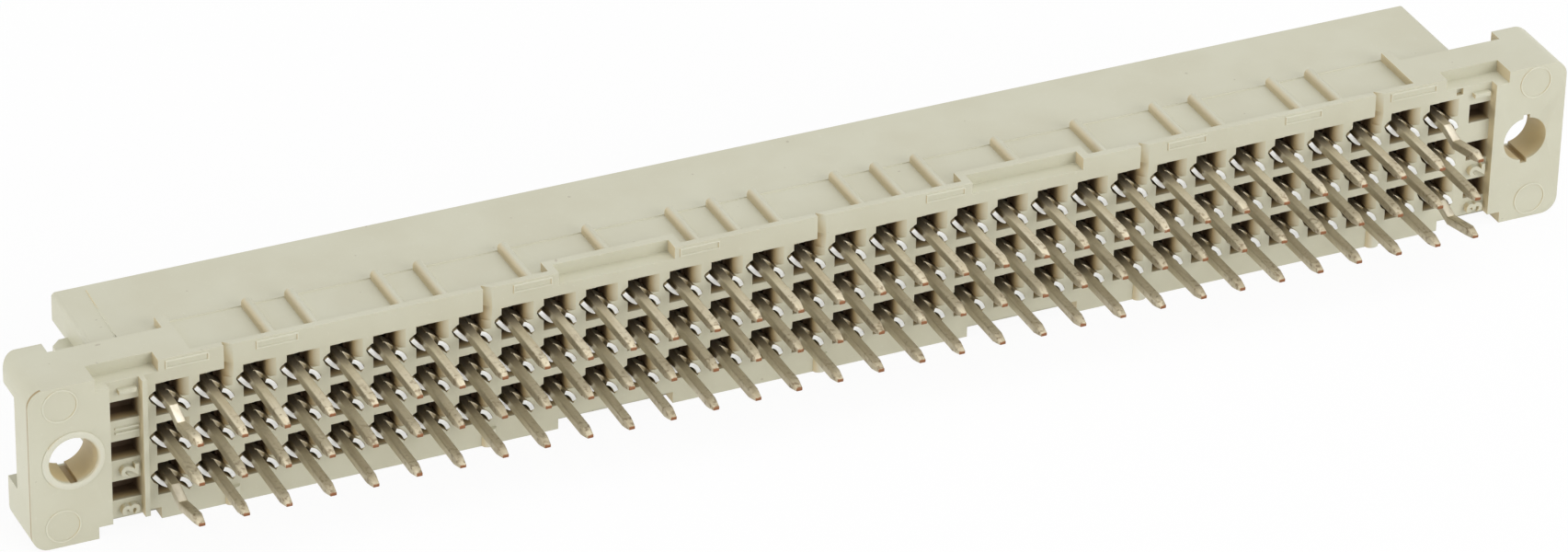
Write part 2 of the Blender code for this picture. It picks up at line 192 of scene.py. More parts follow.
def toScene(mesh, name, smoothDegrees):
    # World place = grid origin + millimetres / 1000. Large faces keep their normal, so only edges look round
    mesh.transform(Matrix.Translation(gridOrigin) @ Matrix.Scale(millimetre, 4))
    mesh.shade_smooth()
    mesh.set_sharp_from_angle(angle=math.radians(smoothDegrees))
    mesh.name = name
    item = bpy.data.objects.new(name, mesh)
    bpy.context.scene.collection.objects.link(item)
    shading = item.modifiers.new("shading", "WEIGHTED_NORMAL")
    shading.keep_sharp = True
    return item


# Housing

easing = {"width": 0.06, "segments": 2, "degrees": 38, "flatDegrees": 1}
cell = {
    "left": -1.10, "right": 1.44, "low": -1.30, "high": 1.24,
    "cavity": (-0.60, 0.67, -0.98, 1.07), "cavityDepth": 9.3, "entry": 0.55, "slotDepth": 1.25,
    "leftSlot": [(-0.5, 0.67), (-0.72, 0.58), (-0.98, 0.38), (-1.02, 0.25), (-0.85, -0.12), (-0.5, -0.40)],
    "rightSlot": [(0.5, 0.06), (0.82, -0.06), (1.14, -0.34), (1.38, -0.68), (1.39, -0.82), (1.21, -1.06),
                  (0.5, -0.42)],
}
leadIn = {
    "wall": 0.83, "edge": 1.33, "low": -0.07, "high": 1.09, "depth": 1.3,
    "start": 35, "reach": 0.5, "steps": 8,
}
block = {
    "left": -40.7, "right": 40.84, "top": 4.45, "bevel": 0.45, "rimTop": 5.08, "rimDepth": 0.42,
    "floorRise": 0.1, "ribReach": 4.3, "ribHalf": 0.31, "ribRound": 0.29, "ribRoot": 3.85,
    "ribGaps": (3, 4, 6, 7, 9, 11, 13, 14, 15, 17, 18, 19, 21, 23, 25, 26, 28, 29),
}
flange = {
    "end": 47.5, "cornerRound": 1.0, "padInner": 42.83, "padProud": 0.6, "plateFront": 1.6,
    "shelfFront": 3.1, "lugFront": 4.05, "lugInner": 45.0, "lugRound": 0.9, "lugCut": 44.5,
    "upperLug": 1.43, "lowerLug": 2.88,
}
hole = {"x": 45.0, "rise": 0.3, "radius": 1.4, "depth": 3.0, "keyHalf": 0.21, "keyReach": 1.62}
guide = {
    "inner": 39.5, "rear": 0.8, "earEnd": 42.35, "earHeight": 1.75, "earRound": 0.25,
    "caseEnd": 43.4, "caseReach": 7.4, "caseTop": 2.95, "caseLow": -0.6, "caseCut": 0.55,
}
notch = {
    "height": 0.73, "depth": 0.95, "endStart": 39.8, "endStop": 43.65, "half": 3.5, "gaps": (11, 21),
    "wall": 0.5, "wallRear": 0.2, "wallLow": 3.9,
}
pocket = {"left": (-42.83, -40.95), "right": (41.45, 42.83), "half": 0.61, "rise": -0.11, "depth": 1.35}
dent = {"left": 40.5, "right": 40.93, "low": 3.85, "high": 4.28, "depth": 0.3}
strip = {"left": -40.95, "right": -40.65, "half": 4.7, "front": 0.8}
groove = {"columns": (2, 8, 16, 24, 30), "width": 0.5, "depth": 0.45, "low": 0.43, "rim": (3.0, 6.0)}


def grooveOutline(x):
    right = x + leadIn["edge"]
    left = right - groove["width"]
    return [(left, -past["face"]), (right, -past["face"]), (right, 0), (left, groove["depth"])]


def leadInOutline():
    # x = wall + across (1 - sin t) / (1 - sin start) and y = reach (1 - cos t / cos start), where t goes
    # from the start to 90 degrees
    start = math.radians(leadIn["start"])
    angles = np.linspace(start, math.pi / 2, leadIn["steps"] + 1)
    across = (leadIn["edge"] - leadIn["wall"]) * (1 - np.sin(angles)) / (1 - math.sin(start))
    depths = leadIn["reach"] * (1 - np.cos(angles) / math.cos(start))
    curve = np.stack([leadIn["wall"] + across, depths], axis=1)
    outside = [(0.0, -past["face"]), (leadIn["edge"], -past["face"])]
    return np.vstack([outside, curve, [(leadIn["wall"], leadIn["depth"]), (0.0, leadIn["depth"])]])


def cellMesh(grooved):
    left, right, low, high = cell["cavity"]
    half, behind, front = cell["entry"], -past["face"], blockDepth + past["face"]
    cuts = {
        "cavity": box((left, behind, low), (right, cell["cavityDepth"], high)),
        "entry": box((-half, cell["cavityDepth"] - past["face"], -half), (half, front, half)),
        "left_slot": prism(cell["leftSlot"], "Y", behind, cell["slotDepth"]),
        "right_slot": prism(cell["rightSlot"], "Y", behind, cell["slotDepth"]),
        "lead_in": prism(leadInOutline(), "Z", leadIn["low"], leadIn["high"]),
    }
    if grooved:
        cuts["groove"] = prism(grooveOutline(0.0), "Z", groove["low"], cell["high"] + past["face"])
    stock = solid("cell", [box((cell["left"], 0, cell["low"]), (cell["right"], blockDepth, cell["high"]))])
    tools = []
    for name, shell in cuts.items():
        addTool(stock, tools, name, [shell], "DIFFERENCE")
    sides = [cell[key] for key in ("left", "right", "low", "high")]
    return opened(finished(stock, tools), sides, (0, blockDepth))


def opened(mesh, sides, depths):
    # The faces on four planes come off, because the next part of the skin starts there, and edges are eased
    work = bmesh.new()
    work.from_mesh(mesh)
    bmesh.ops.delete(work, geom=facesOn(work, *sides), context="FACES")
    easeEdges(work, depths)
    work.to_mesh(mesh)
    work.free()
    return mesh


def facesOn(work, left, right, low, high):
    # The faces that lie on one of four planes and inside the rectangle that these planes make
    borders = ((0, left), (0, right), (2, low), (2, high))
    more = near["inside"]
    found = []
    for face in work.faces:
        middle = face.calc_center_median()
        inside = left - more < middle.x < right + more and low - more < middle.z < high + more
        if inside and any(all(abs(point.co[axis] - place) < near["plane"] for point in face.verts)
                          for axis, place in borders):
            found.append(face)
    return found


def easeEdges(work, depths):
    # Rounds the sharp edges that keep clear of open borders: all of them, or only those at the given depths
    inner = [point for point in work.verts if not point.is_boundary]
    flat = math.radians(easing["flatDegrees"])
    bmesh.ops.dissolve_limit(work, angle_limit=flat, verts=inner, edges=work.edges)
    limit = math.radians(easing["degrees"])
    sharp = [line for line in work.edges
             if len(line.link_faces) == 2 and line.calc_face_angle(0) > limit
             and not any(point.is_boundary for point in line.verts)
             and (not depths or any(all(abs(point.co.y - y) < near["depth"] for point in line.verts)
                                    for y in depths))]
    bmesh.ops.bevel(work, geom=sharp, offset=easing["width"], segments=easing["segments"], profile=0.5,
                    affect="EDGES", clamp_overlap=True)
    bmesh.ops.triangulate(work, faces=[face for face in work.faces if len(face.verts) > 4])


def gridShells():
    # One plain and one grooved cell, copied to every contact axis
    plain, grooved = shellOf(cellMesh(False)), shellOf(cellMesh(True))
    shells = []
    for row, z in rowHeights.items():
        for column in range(1, columns + 1):
            points, corners, sizes = grooved if row == "a" and column in groove["columns"] else plain
            shells.append((points + np.array([columnX(column), 0.0, z]), corners, sizes))
    return shells


def blockShells():
    # Section of the block: rim, lower floor behind the ribs, and a bevel on both edges of the mating face
    top, rim, bevel, reach = block["top"], block["rimTop"], block["bevel"], block["ribReach"]
    floorTop = top + block["floorRise"]
    outline = [(0, rim), (block["rimDepth"], rim), (block["rimDepth"], floorTop), (reach, floorTop),
               (reach, top), (blockDepth - bevel, top), (blockDepth, top - bevel), (blockDepth, bevel - top),
               (blockDepth - bevel, -top), (reach, -top), (reach, -rim), (0, -rim)]
    return [prism(outline, "X", block["left"], block["right"])]


def ribShells():
    # A bar with rounded upper edges between two columns
    half, rim, soft, low = block["ribHalf"], block["rimTop"], block["ribRound"], block["ribRoot"]
    crown = np.vstack([[(-half, low), (half, low)], arc((half - soft, rim - soft), soft, 0, 90, steps=4),
                       arc((soft - half, rim - soft), soft, 90, 180, steps=4)])
    return [prism(crown + (columnX(gap + 0.5), 0), "Y", block["rimDepth"] / 2, block["ribReach"])
            for gap in block["ribGaps"]]


def flangeShells():
    # The plate's outline seen from behind, and what shapes it: its plan, the gap between the lugs, and the
    # cut that ends the lower lug at the shelf
    inner = -columnX(1.5) - block["ribHalf"]
    ribInner, reach = inner + 2 * block["ribHalf"], block["ribReach"]
    end, rim, radius, soft = flange["end"], block["rimTop"], flange["cornerRound"], flange["lugRound"]
    proud, padInner, shelf = flange["padProud"], flange["padInner"], flange["shelfFront"]
    lugInner, lugFront = flange["lugInner"], flange["lugFront"]
    upper = np.vstack([[(inner, rim)], arc((end - radius, rim - radius), radius, 90, 0, steps=10)])
    section = prism(np.vstack([upper, upper[::-1] * (1, -1)]), "Y", past["rear"], past["front"])
    plan = np.vstack([
        [(inner, 0), (padInner, 0), (padInner, -proud), (end, -proud)],
        arc((end - soft, lugFront - soft), soft, 0, 90, steps=10),
        [(lugInner, lugFront), (lugInner, shelf), (ribInner, shelf), (ribInner, reach), (inner, reach)]])
    far = end + past["face"]
    steps = [(prism(plan, "Z", -past["height"], past["height"]), "INTERSECT"),
             (box((-block["left"], flange["plateFront"], flange["lowerLug"] - rim),
                  (far, past["front"], rim - flange["upperLug"])), "DIFFERENCE"),
             (box((flange["lugCut"], shelf, -past["height"]), (far, past["front"], 0)), "DIFFERENCE")]
    return section, steps


def guideShells():
    # An ear with a rounded edge and the block's bevel at the mating face, and a case with one corner cut off
    inner, rear, soft, bevel = guide["inner"], guide["rear"], guide["earRound"], block["bevel"]
    end, top, low = guide["earEnd"], block["top"], block["top"] - guide["earHeight"]
    ear = np.vstack([[(inner, low), (end, low)], arc((end - soft, top - soft), soft, 0, 90, steps=8),
                     [(inner, top)]])
    mouth = ear - bevel * (ear > (end - 2 * soft, top - 2 * soft))
    rings = [atDepth(ear, rear), atDepth(ear, blockDepth - bevel), atDepth(mouth, blockDepth)]
    side, reach, cut = guide["caseEnd"], guide["caseReach"], guide["caseCut"]
    case = [(inner, rear), (side, rear), (side, reach - cut), (side - cut, reach), (inner, reach)]
    return [loft(np.array(rings)), prism(case, "Z", guide["caseLow"], guide["caseTop"])]


def holeShells():
    # Circle with a key slot above and below: a slot meets the circle where |x| = keyHalf
    radius, half, reach = hole["radius"], hole["keyHalf"], hole["keyReach"]
    start = math.degrees(math.asin(half / radius))
    outline = np.vstack([
        arc((0, 0), radius, start - 90, 90 - start, steps=24), [(half, reach), (-half, reach)],
        arc((0, 0), radius, 90 + start, 270 - start, steps=24), [(-half, -reach), (half, -reach)]])
    return [prism(outline + (hole["x"], hole["rise"]), "Y", past["rear"], hole["depth"])]


def notchShells():
    # Notches in both rims, at the ends and between columns, and walls round the upper rim's middle ones
    low, high = block["rimTop"] - notch["height"], block["rimTop"] + past["face"]
    middles = [columnX(gap + 0.5) for gap in notch["gaps"]]
    spans = [(notch["endStart"], notch["endStop"]), (-notch["endStop"], -notch["endStart"])]
    spans += [(x - notch["half"], x + notch["half"]) for x in middles]
    cuts = [box((start, past["rear"], bottom), (stop, notch["depth"], top))
            for start, stop in spans for bottom, top in ((low, high), (-high, -low))]
    reach, half = notch["depth"] + notch["wall"], notch["half"] + notch["wall"]
    walls = [box((x - half, notch["wallRear"], notch["wallLow"]), (x + half, reach, block["rimTop"]))
             for x in middles]
    return walls, cuts


def pocketShells():
    # One pocket per row and side, and a small dent in the upper rim
    shells = [box((dent["left"], -past["face"], dent["low"]), (dent["right"], dent["depth"], dent["high"]))]
    for start, stop in (pocket["left"], pocket["right"]):
        for z in rowHeights.values():
            low, high = z + pocket["rise"] - pocket["half"], z + pocket["rise"] + pocket["half"]
            shells.append(box((start, -past["face"], low), (stop, pocket["depth"], high)))
    return shells


def tunnelOutline():
    # The cells' common outline, with a point at every cell border so that both meshes share their points
    xs = columnX(1) + cell["left"] + pitch * np.arange(columns + 1)
    zs = cell["low"] - pitch + pitch * np.arange(len(rowHeights) + 1)
    lower = np.stack([xs, np.full(len(xs), zs[0])], axis=1)
    upper = np.stack([xs[::-1], np.full(len(xs), zs[-1])], axis=1)
    right = np.stack([np.full(len(zs) - 2, xs[-1]), zs[1:-1]], axis=1)
    left = np.stack([np.full(len(zs) - 2, xs[0]), zs[-2:0:-1]], axis=1)
    return np.vstack([lower, right, upper, left])


def surroundMesh():
    # Everything of the housing but its cells
    stock = solid("surround", blockShells())
    section, plateSteps = flangeShells()
    tools = []
    for name, copy in (("right", list), ("left", mirrored)):
        plate = addTool(stock, tools, f"plate_{name}", copy([section]), "UNION")
        for index, (shell, operation) in enumerate(plateSteps):
            addTool(plate, tools, f"plan_{name}_{index}", copy([shell]), operation)
        for index, shell in enumerate(guideShells()):
            addTool(stock, tools, f"guide_{name}_{index}", copy([shell]), "UNION")
    walls, cuts = notchShells()
    stripShell = box((strip["left"], -flange["padProud"], -strip["half"]),
                     (strip["right"], strip["front"], strip["half"]))
    grooves = [prism(grooveOutline(columnX(column)), "Z", *groove["rim"]) for column in groove["columns"]]
    border = tunnelOutline()
    tunnel = prism(border, "Y", -past["face"], blockDepth + past["face"])
    added = {"ribs": ribShells(), "notch_walls": walls, "strip": [stripShell]}
    cutOut = {"notches": cuts, "pockets": pocketShells(), "holes": holeShells() + mirrored(holeShells()),
              "grooves": grooves, "tunnel": [tunnel]}
    for shellsByName, operation in ((added, "UNION"), (cutOut, "DIFFERENCE")):
        for name, shells in shellsByName.items():
            addTool(stock, tools, name, shells, operation)
    (left, low), (right, high) = border.min(axis=0), border.max(axis=0)
    return opened(finished(stock, tools), (left, right, low, high), ())


def isStray(point):
    # A point inside a straight open border: the other mesh has one line there, without this point
    ends = [line.other_vert(point).co for line in point.link_edges if line.is_boundary]
    ways = [(end - point.co).normalized() for end in ends]
    return len(ways) == 2 and ways[0].dot(ways[1]) < near["opposite"]


def housingMesh():
    # Surround and cells as one skin, welded where they meet
    mesh = meshFrom("housing_skin", [shellOf(surroundMesh()), *gridShells()])
    work = bmesh.new()
    work.from_mesh(mesh)
    bmesh.ops.remove_doubles(work, verts=work.verts, dist=near["point"])
    strays = [point for point in work.verts if point.is_boundary and isStray(point)]
    bmesh.ops.dissolve_verts(work, verts=strays)
    bmesh.ops.triangulate(work, faces=[face for face in work.faces if len(face.verts) > 4])
    bmesh.ops.recalc_face_normals(work, faces=work.faces)
    print("housing open edges", sum(len(line.link_faces) != 2 for line in work.edges))
    work.to_mesh(mesh)
    work.free()
    return mesh


# Contacts

contact = {
    "side": 0.54, "corner": 0.07, "length": 5.2, "root": 1.4, "lean": 0.05,
    # Distance from the cut end, side of the section, and how flat it is
    "tip": ((0.0, 0.30, 0.45), (0.04, 0.36, 0.55), (0.48, 0.4644, 0.92), (0.8, 0.54, 1.0)),
    # Distance from the rear face, and drop of a kinked tail. Its slope gets a faint painted highlight
    # between two depths
    "kink": ((2.38, 0.4185), (2.3, 0.45), (2.22, 0.4185), (1.16, 0.03), (1.1, 0.0)),
    "kinkHighlight": (-2.27, -1.13), "kinkHighlightShare": 0.15,
    "kinked": (("a", 1), ("a", 32), ("c", 1), ("c", 32)),
    "sheet": 0.26, "wingRear": -0.1, "wingFront": 1.2, "bridgeRear": 0.45, "ease": 0.03, "easeStep": 0.3,
    "leftWing": [(-0.87, 0.34), (-0.70, 0.12), (-0.50, -0.12), (-0.28, -0.32), (-0.03, -0.46)],
    "rightWing": [(0.66, -0.20), (0.85, -0.26), (1.05, -0.43), (1.18, -0.63), (1.25, -0.84)],
    "bridge": [(0.1, 0.2), (0.38, 0.05), (0.74, -0.29)],
    # Depth, half width and half height of the spring blade
    "blade": ((1.2, 0.28, 0.28), (3.0, 0.4, 0.12), (8.4, 0.4, 0.12)),
}


def roundedSquare(side, corner):
    reach = side / 2 - corner
    return np.vstack([arc((x * reach, z * reach), corner, start, start + 90, steps=3)
                      for start, x, z in ((180, -1, -1), (270, 1, -1), (0, 1, 1), (90, -1, 1))])


def tailShell(kinked):
    # Each station is a depth, the section's side, its drop and its flatness, from the cut end to the root
    side = contact["side"]
    stations = [(reach - contact["length"], width, 0.0, flat) for reach, width, flat in contact["tip"]]
    if kinked:
        stations += [(-reach, side, drop, 1.0) for reach, drop in contact["kink"]]
    stations.append((contact["root"], side, 0.0, 1.0))
    rings = []
    for y, width, drop, flat in stations:
        section = roundedSquare(width, contact["corner"] * width / side)
        rings.append(atDepth(section * (1, flat) - (0, drop), y))
    return loft(np.array(rings))


def sheetShell(path, rear, front):
    # The path gets four points per part and is smoothed three times, each point with weight 2 and its
    # neighbours with 1. Its points then move half the sheet to both sides along the path's normal
    path = np.array(path)
    steps = np.linspace(0, len(path) - 1, 4 * (len(path) - 1) + 1)
    line = np.stack([np.interp(steps, np.arange(len(path)), path[:, axis]) for axis in (0, 1)], axis=1)
    for _ in range(3):
        line[1:-1] = (line[:-2] + 2 * line[1:-1] + line[2:]) / 4
    along = np.gradient(line, axis=0)
    along /= np.linalg.norm(along, axis=1)[:, None]
    normal = np.stack([-along[:, 1], along[:, 0]], axis=1)
    ease, first = contact["ease"], contact["easeStep"] * contact["ease"]
    rings = []
    for y, inset in ((rear, ease), (rear + first, first), (rear + ease, 0.0), (front, 0.0)):
        half = contact["sheet"] / 2 - inset
        centre = line.copy()
        centre[0] += along[0] * inset
        centre[-1] -= along[-1] * inset
        # Both ends are eased too: a short edge across the sheet, and the sides start one ease further in
        spread = (half - ease) * np.array([[1], [-1], [-1], [1]])
        ends = centre[[0, 0, -1, -1]] + normal[[0, 0, -1, -1]] * spread
        centre[0] += along[0] * ease
        centre[-1] -= along[-1] * ease
        upper, lower = centre + normal * half, centre - normal * half
        rings.append(atDepth(np.concatenate([ends[:2], lower, ends[2:], upper[::-1]]), y))
    return loft(np.array(rings))


def bladeShell():
    return loft(np.array([atDepth(rectangle((-x, -z), (x, z)), y) for y, x, z in contact["blade"]]))


def contactShell(kinked):
    # The whole contact, and its painted highlight: 1 on the cut ends of its wings
    rear, front = contact["wingRear"], contact["wingFront"]
    parts = [tailShell(kinked), sheetShell(contact["leftWing"], rear, front),
             sheetShell(contact["rightWing"], rear, front),
             sheetShell(contact["bridge"], contact["bridgeRear"], front), bladeShell()]
    points, corners, sizes = shellOf(meshFrom("contact", parts))
    onWing = np.arange(len(points)) >= len(parts[0][0])
    cutHighlight = (onWing & (points[:, 1] < rear + contact["ease"] / 2)).astype(float)
    if kinked:
        low, high = contact["kinkHighlight"]
        cutHighlight[~onWing & (points[:, 1] > low) & (points[:, 1] < high)] = contact["kinkHighlightShare"]
    return points, corners, sizes, cutHighlight


def contactRow(row):
    straight, kinked = contactShell(False), contactShell(True)
    chance = np.random.default_rng(ord(row))
    shells, tones, cuts = [], [], []
    for column in range(1, columns + 1):
        points, corners, sizes, cut = kinked if (row, column) in contact["kinked"] else straight
        # Each tail leans by up to the lean at its tip, in proportion to the distance from the rear face
        lean = chance.uniform(-contact["lean"], contact["lean"], 2)
        reach = np.clip(-points[:, 1] / contact["length"], 0, 1)[:, None]
        place = np.array([columnX(column), 0.0, rowHeights[row]])
        shells.append((points + reach * np.array([lean[0], 0.0, lean[1]]) + place, corners, sizes))
        tones.append(np.full(len(points), chance.uniform(0, 1)))
        cuts.append(cut)
    mesh = meshFrom(f"contacts_row_{row}", shells)
    # The cut attribute carries the painted highlight
    for name, values in (("tone", tones), ("cut", cuts)):
        mesh.attributes.new(name, "FLOAT", "POINT").data.foreach_set("value", np.concatenate(values))
    return toScene(mesh, f"contacts_row_{row}", smoothDegrees=40)


# Raised marks and other low relief on the rear side

marks = {
    "rise": 0.34, "sunk": 0.02, "size": 1.35, "ease": 0.03, "left": -41.62, "right": 42.15,
    "heights": (3.72, -1.33, -3.83),
}
pip = {"start": 0.75, "stop": 1.6, "proud": 0.33, "sunk": 0.3, "low": -5.05, "top": -3.95, "steps": 10}
relief = {
    "frames": ((-39.4, -36.85), (-34.13, -31.65), (-18.95, -16.6), (-8.9, -6.46), (6.3, 8.75), (21.6, 24.1),
               (29.2, 31.6), (36.1, 39.15)),
    "frameLow": 4.42, "frameHigh": 4.94, "frameLine": 0.1, "frameRise": 0.07,
    "holeRing": {"radius": 1.8, "width": 0.36, "rise": 0.1},
    "ejector": {"radius": 1.03, "width": 0.1, "rise": 0.05},
    "ejectors": ((-45.68, 3.9), (-45.7, -3.75), (45.45, 4.0), (45.6, -3.85)),
    "ridges": (1.03, 1.32), "ridgeEnds": (-42.38, -41.02), "ridgeRoot": 0.07, "ridgeTop": 0.04,
    "ridgeSunk": 0.05, "ridgeRise": 0.12,
    "mouldHalf": 0.06, "mouldReach": 38.3, "mouldEnds": ((-40.77, 3.2), (-40.5, 9.3)),
}


def markMesh(text, x, z):
    curve = bpy.data.curves.new(f"mark_{text}", "FONT")
    curve.body = text
    curve.size = marks["size"]
    curve.extrude = marks["rise"] / 2
    curve.bevel_depth = marks["ease"]
    curve.offset = marks["ease"]
    curve.bevel_resolution = 2
    curve.align_x = "CENTER"
    curve.align_y = "CENTER"
    holder = bpy.data.objects.new("mark", curve)
    bpy.context.scene.collection.objects.link(holder)
    graph = bpy.context.evaluated_depsgraph_get()
    mesh = bpy.data.meshes.new_from_object(holder.evaluated_get(graph), depsgraph=graph)
    bpy.data.objects.remove(holder)
    # The text faces the viewer at -Y, turned a quarter so that its top points to -X
    turn = Matrix.Rotation(math.radians(90), 4, "X") @ Matrix.Rotation(math.radians(90), 4, "Z")
    mesh.transform(Matrix.Translation((x, marks["sunk"] - marks["rise"] / 2, z)) @ turn)
    return mesh


def pipShells():
    # Half-round pips on the rear face under the grooved columns
    half = (pip["stop"] - pip["start"]) / 2
    outline = np.vstack([[(-half, pip["sunk"]), (half, pip["sunk"])],
                         arc((0, 0), half, 0, -180, pip["steps"]) * (1, pip["proud"] / half)])
    return [prism(outline + (columnX(column) + pip["start"] + half, 0), "Z", pip["low"], pip["top"])
            for column in groove["columns"]]


def frameShells():
    # Insert outlines on the rim
    line, low, high = relief["frameLine"], relief["frameLow"], relief["frameHigh"]
    shells = []
    for left, right in relief["frames"]:
        outer = rectangle((left, low), (right, high))
        inner = rectangle((left + line, low + line), (right - line, high - line))
        shells.append(raisedLoop(outer, inner, 0.0, relief["frameRise"]))
    return shells


def ringShells():
    # A ring round the left hole, and the ejector circles on the pads
    rings = [(-hole["x"], hole["rise"], relief["holeRing"])]
    rings += [(x, z, relief["ejector"]) for x, z in relief["ejectors"]]
    shells = []
    for x, z, ring in rings:
        outer, inner = circle((x, z), ring["radius"]), circle((x, z), ring["radius"] - ring["width"])
        shells.append(raisedLoop(outer, inner, -flange["padProud"], ring["rise"]))
    return shells


def ridgeShells():
    # Two short ridges between the left pockets of rows a and b
    root, top, sunk, rise = (relief[key] for key in ("ridgeRoot", "ridgeTop", "ridgeSunk", "ridgeRise"))
    shells = []
    for z in relief["ridges"]:
        section = [(sunk, z - root), (sunk, z + root), (-rise, z + top), (-rise, z - top)]
        shells.append(prism(section, "X", *relief["ridgeEnds"]))
    return shells


def mouldShells():
    # Two thin mould lines on the block's top: in front of the ribs, and between the block and its left ear
    half, top, reach = relief["mouldHalf"], block["top"], block["ribReach"]
    crown = top + block["floorRise"] + half
    across = [(reach - half, top - half), (reach + half, top - half), (reach, crown)]
    along = np.array([(-half, top - half), (half, top - half), (0.0, top + half)])
    return [prism(across, "X", -relief["mouldReach"], relief["mouldReach"]),
            loft(np.array([atDepth(along + (x, 0), y) for x, y in relief["mouldEnds"]]))]


# Materials

class Socket:
    # A node's output that takes part in ordinary arithmetic
    def __init__(self, graph, output):
        self.graph = graph
        self.output = output

    def maths(self, operation, first, second=0.0):
        return self.graph.node("ShaderNodeMath", {0: first, 1: second}, operation=operation)

    def __add__(self, other):
        return self.maths("ADD", self, other)

    def __sub__(self, other):
        return self.maths("SUBTRACT", self, other)

    def __rsub__(self, other):
        return self.maths("SUBTRACT", other, self)

    def __mul__(self, other):
        return self.maths("MULTIPLY", self, other)

    __radd__ = __add__
    __rmul__ = __mul__

    def __mod__(self, other):
        return self.maths("MODULO", self, other)

    def __lt__(self, other):
        return self.maths("LESS_THAN", self, other)

    def __abs__(self):
        return self.maths("ABSOLUTE", self)

    def larger(self, other):
        return self.maths("MAXIMUM", self, other)

    def smaller(self, other):
        return self.maths("MINIMUM", self, other)


class Graph:
    def __init__(self, tree):
        self.tree = tree

    def node(self, kind, inputs=None, output=0, **settings):
        # Settings come first, because some of them decide which sockets the node has
        made = self.tree.nodes.new(kind)
        for key, value in settings.items():
            setattr(made, key, value)
        self.fill(made, inputs or {})
        return Socket(self, made.outputs[output])

    def fill(self, made, inputs):
        for key, value in inputs.items():
            if isinstance(value, Socket):
                self.tree.links.new(value.output, made.inputs[key])
            else:
                made.inputs[key].default_value = value

    def axis(self, vector, name):
        return self.node("ShaderNodeSeparateXYZ", {0: vector}, output=name)

    def attribute(self, name):
        return self.node("ShaderNodeAttribute", output="Fac", attribute_name=name)

    def ramp(self, value, low, high, first=0.0, last=1.0):
        span = {"Value": value, "From Min": low, "From Max": high, "To Min": first, "To Max": last}
        return self.node("ShaderNodeMapRange", span)

    def mix(self, share, first, second):
        return self.node("ShaderNodeMix", {0: share, 6: first, 7: second}, output=2, data_type="RGBA")

    def noise(self, vector, scale, detail, stretch=(1.0, 1.0, 1.0)):
        shaped = self.node("ShaderNodeMapping", {"Vector": vector, "Scale": stretch})
        return self.node("ShaderNodeTexNoise", {"Vector": shaped, "Scale": scale, "Detail": detail})

    def bump(self, height, distance, strength):
        inputs = {"Height": height, "Distance": distance, "Strength": strength}
        return self.node("ShaderNodeBump", inputs, output="Normal")


def newMaterial(name):
    material = bpy.data.materials.new(name)
    material.use_nodes = True
    return material, Graph(material.node_tree), material.node_tree.nodes["Principled BSDF"]


# The two cloud tones, fibres and grit are the plastic's own colours; those for openings, holes, steps and
# slits are painted shade, and the palest is a painted highlight on raised relief
plasticLook = {
    "pale": (0.605, 0.592, 0.462, 1), "warm": (0.580, 0.562, 0.432, 1), "deepShade": (0.120, 0.078, 0.045, 1),
    "tan": (0.660, 0.510, 0.270, 1), "fibre": (0.70, 0.68, 0.58, 1), "grit": (0.30, 0.25, 0.18, 1),
    "slitShade": (0.340, 0.240, 0.110, 1), "boreShade": (0.640, 0.530, 0.310, 1), "paleHighlight": (0.80, 0.79, 0.68, 1),
}
# All tints placed here are painted shade
# Where the plastic changes its tint, in millimetres. A reach counts from the middle of the grid or of a
# hole, a side is an x, and a pair is two depths: a tint begins and is full there, or it fades and ends
tint = {
    "cavityReach": 40.55, "pocketReach": 42.84, "rowReach": 3.86, "boreReach": 1.7, "keyReach": 0.24,
    "keyRise": 1.37, "caseSide": -40.6, "padSide": -46.45, "slitShadeSide": -46.7, "slitShade": (-0.52, -0.36),
    "mouth": (0.0, 0.45), "mouthShadeEnd": (9.6, 9.9), "deepShade": (0.5, 1.0), "deepShadeEnd": (9.1, 9.5),
    "pocket": (0.0, 0.3), "pocketDeepShade": (0.0, 0.8), "boreShade": (-0.6, -0.3), "leadIn": 1.3, "leadInSide": 0.69,
}
# How much of each tint the surface takes at most: fibres and grit are the plastic's own, the paler tint on
# relief is a painted highlight, and the others are painted shade
tintShare = {"paleHighlight": 0.28, "fibre": 0.35, "grit": 0.4, "slitShade": 0.9, "steps": 0.6, "slots": 0.7}


